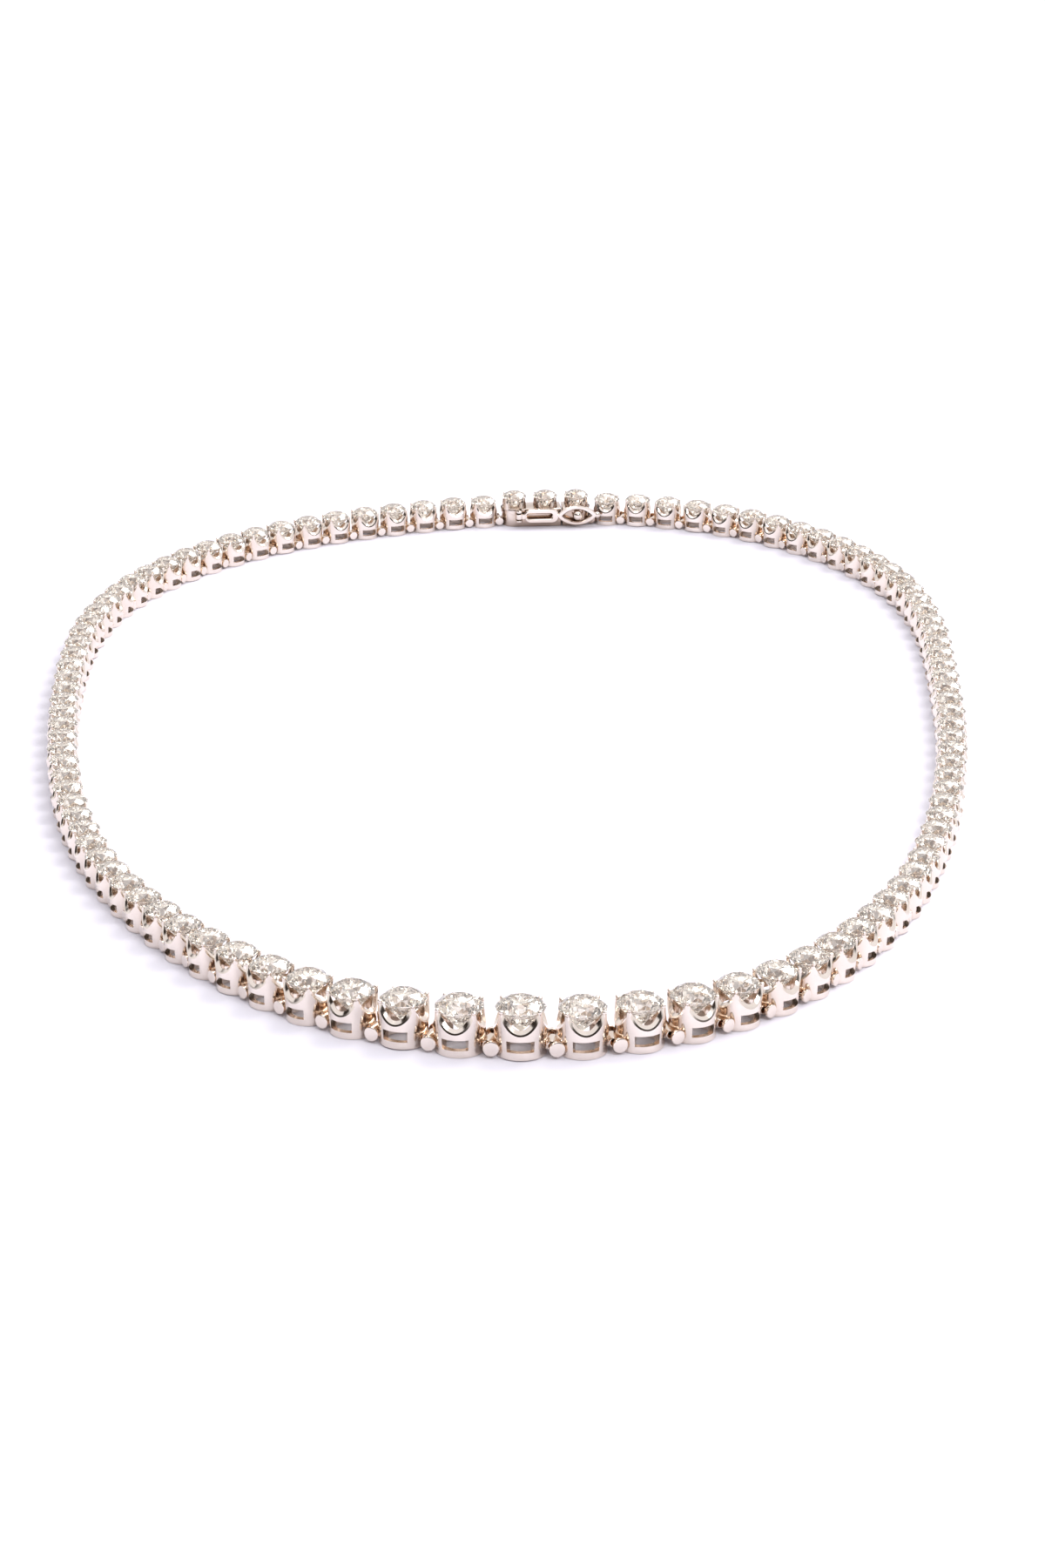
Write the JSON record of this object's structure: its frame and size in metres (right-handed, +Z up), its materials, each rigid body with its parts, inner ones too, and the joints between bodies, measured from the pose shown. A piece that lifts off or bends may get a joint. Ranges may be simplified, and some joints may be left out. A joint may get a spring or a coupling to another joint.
{
  "type": "diamond necklace",
  "caption": "Closed line necklace of round stones in four-claw settings, largest at the front centre, with a box clasp and a figure-eight safety catch, lying flat.",
  "frame": {"origin": "centre of the loop's bounding box, on the surface that the necklace lies on", "axes": "+Z up, out of the stones' tables; -Y towards the front centre stone and +Y towards the clasp; +X to the right as seen from the front"},
  "size_m": [0.0992, 0.1642, 0.0048],
  "materials": {
    "white_gold": "polished",
    "diamond": "polished, faceted"
  },
  "bodies": {
    "necklace": {"links_left": "white_gold", "links_right": "white_gold", "diamonds_left": "diamond", "diamonds_right": "diamond", "clasp_box": "white_gold", "clasp_tongue": "white_gold", "clasp_diamonds": "diamond"},
    "safety_catch": {"safety_catch": "white_gold"}
  },
  "joints": [
    {"name": "safety_catch_swing", "type": "hinge", "parent": "necklace", "child": "safety_catch", "pos_m": [0.00121, 0.07756, 0.00155], "axis": [0, 0, -1], "range_deg": [0, 100]}
  ]
}
